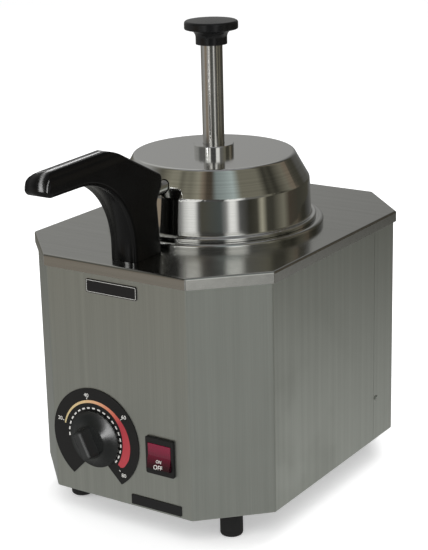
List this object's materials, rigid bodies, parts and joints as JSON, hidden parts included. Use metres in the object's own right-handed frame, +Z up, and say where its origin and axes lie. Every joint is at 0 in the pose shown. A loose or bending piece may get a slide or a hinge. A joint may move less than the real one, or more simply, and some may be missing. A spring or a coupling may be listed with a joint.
{
  "type": "can warmer",
  "caption": "Counter-top can warmer: eight-sided steel casing with a round well, a lift-out plunger pump, a heated spout shroud, thermostat dial and rocker switch.",
  "frame": {"origin": "on the table under the middle of the bounding box, between the spout's nose and the cord gland", "axes": "+Z up, -Y towards the front panel and the spout, +X to the right as seen from the front"},
  "size_m": [0.241, 0.4022, 0.4082],
  "materials": {
    "casing_steel": "vertical brushed stainless sheet",
    "deck_steel": "satin stainless sheet",
    "well_steel": "spun stainless, bright rim",
    "lid_steel": "mirror-polished stainless",
    "tube_steel": "polished stainless tube",
    "valve_steel": "turned stainless",
    "plated_steel": "galvanised sheet",
    "fastener_steel": "plated screws and nuts",
    "spring_steel": "stainless spring wire",
    "element_sheath": "heat-tinted sheath",
    "cartridge_steel": "drawn sheath",
    "bulb_copper": "drawn copper",
    "shroud_black": "glossy moulded plastic",
    "knob_black": "glossy moulded phenolic",
    "piston_plastic": "white moulded plastic",
    "seal_rubber": "moulded seal",
    "foot_rubber": "black rubber",
    "dial_black": "black plate with printed scale",
    "dial_knob_black": "moulded knob",
    "thermostat_case": "stamped case",
    "shaft_brass": "turned brass",
    "switch_black": "moulded bezel and housing",
    "rocker_red": "translucent red",
    "plate_black": "black plate with a fine pale line",
    "gland_black": "moulded nylon",
    "block_cream": "moulded terminal block",
    "lead_red": "silicone sleeve"
  },
  "bodies": {
    "casing": {"top_deck": "deck_steel", "front_wrap": "casing_steel", "rear_wrap": "casing_steel", "side_rivets": "casing_steel", "bottom_plate": "plated_steel", "bottom_screws": "fastener_steel", "foot_front_left": "foot_rubber", "foot_front_right": "foot_rubber", "foot_rear_left": "foot_rubber", "foot_rear_right": "foot_rubber", "foot_screws": "fastener_steel", "foot_nuts": "fastener_steel", "well": "well_steel", "heating_element": "element_sheath", "element_clamp": "plated_steel", "clamp_nut": "fastener_steel", "heater_post": "tube_steel", "spout_heater": "cartridge_steel", "post_screws": "fastener_steel", "post_nuts": "fastener_steel", "dial_plate": "dial_black", "thermostat": "thermostat_case", "thermostat_screws": "fastener_steel", "switch_body": "switch_black", "upper_plate": "plate_black", "lower_strip": "plate_black", "sensing_bulb": "bulb_copper", "bulb_clip": "plated_steel", "cord_gland": "gland_black", "gland_nut": "gland_black", "terminal_block": "block_cream", "terminal_screws": "fastener_steel", "lead_wires": "lead_red"},
    "pump": {"pump_lid": "lid_steel", "lock_collar": "lid_steel", "pump_head": "lid_steel", "pump_cylinder": "tube_steel", "valve_body": "valve_steel", "inlet_seat": "valve_steel", "riser_tube": "tube_steel", "union_nut": "tube_steel", "spout_tube": "tube_steel", "shroud_right": "shroud_black", "shroud_left": "shroud_black", "shroud_screws": "fastener_steel"},
    "plunger": {"plunger_tube": "tube_steel", "plunger_knob": "knob_black", "piston": "piston_plastic", "piston_seal": "seal_rubber", "return_spring": "spring_steel"},
    "inlet_ball": {"inlet_ball": "valve_steel"},
    "outlet_ball": {"outlet_ball": "valve_steel"},
    "dial_knob": {"thermostat_knob": "dial_knob_black", "thermostat_shaft": "shaft_brass"},
    "rocker": {"switch_rocker": "rocker_red"}
  },
  "joints": [
    {"name": "pump_lift", "type": "slide", "parent": "casing", "child": "pump", "axis": [0, 0, 1], "range_m": [0, 0.18]},
    {"name": "plunger_stroke", "type": "slide", "parent": "pump", "child": "plunger", "axis": [0, 0, 1], "range_m": [-0.084, 0], "stiffness_N_per_m": 400, "springref_m": 0.03, "deforming": ["return_spring"]},
    {"name": "inlet_ball_lift", "type": "slide", "parent": "pump", "child": "inlet_ball", "axis": [0, 0, 1], "range_m": [0, 0.0025]},
    {"name": "outlet_ball_lift", "type": "slide", "parent": "pump", "child": "outlet_ball", "axis": [0, 0, 1], "range_m": [0, 0.0025]},
    {"name": "dial_knob_turn", "type": "hinge", "parent": "casing", "child": "dial_knob", "pos_m": [-0.0253, -0.115, 0.0791], "axis": [0, -1, 0], "range_deg": [-74.5, 146]},
    {"name": "rocker_tilt", "type": "hinge", "parent": "casing", "child": "rocker", "pos_m": [0.0401, -0.1126, 0.0772], "axis": [1, 0, 0], "range_deg": [0, 16]}
  ]
}
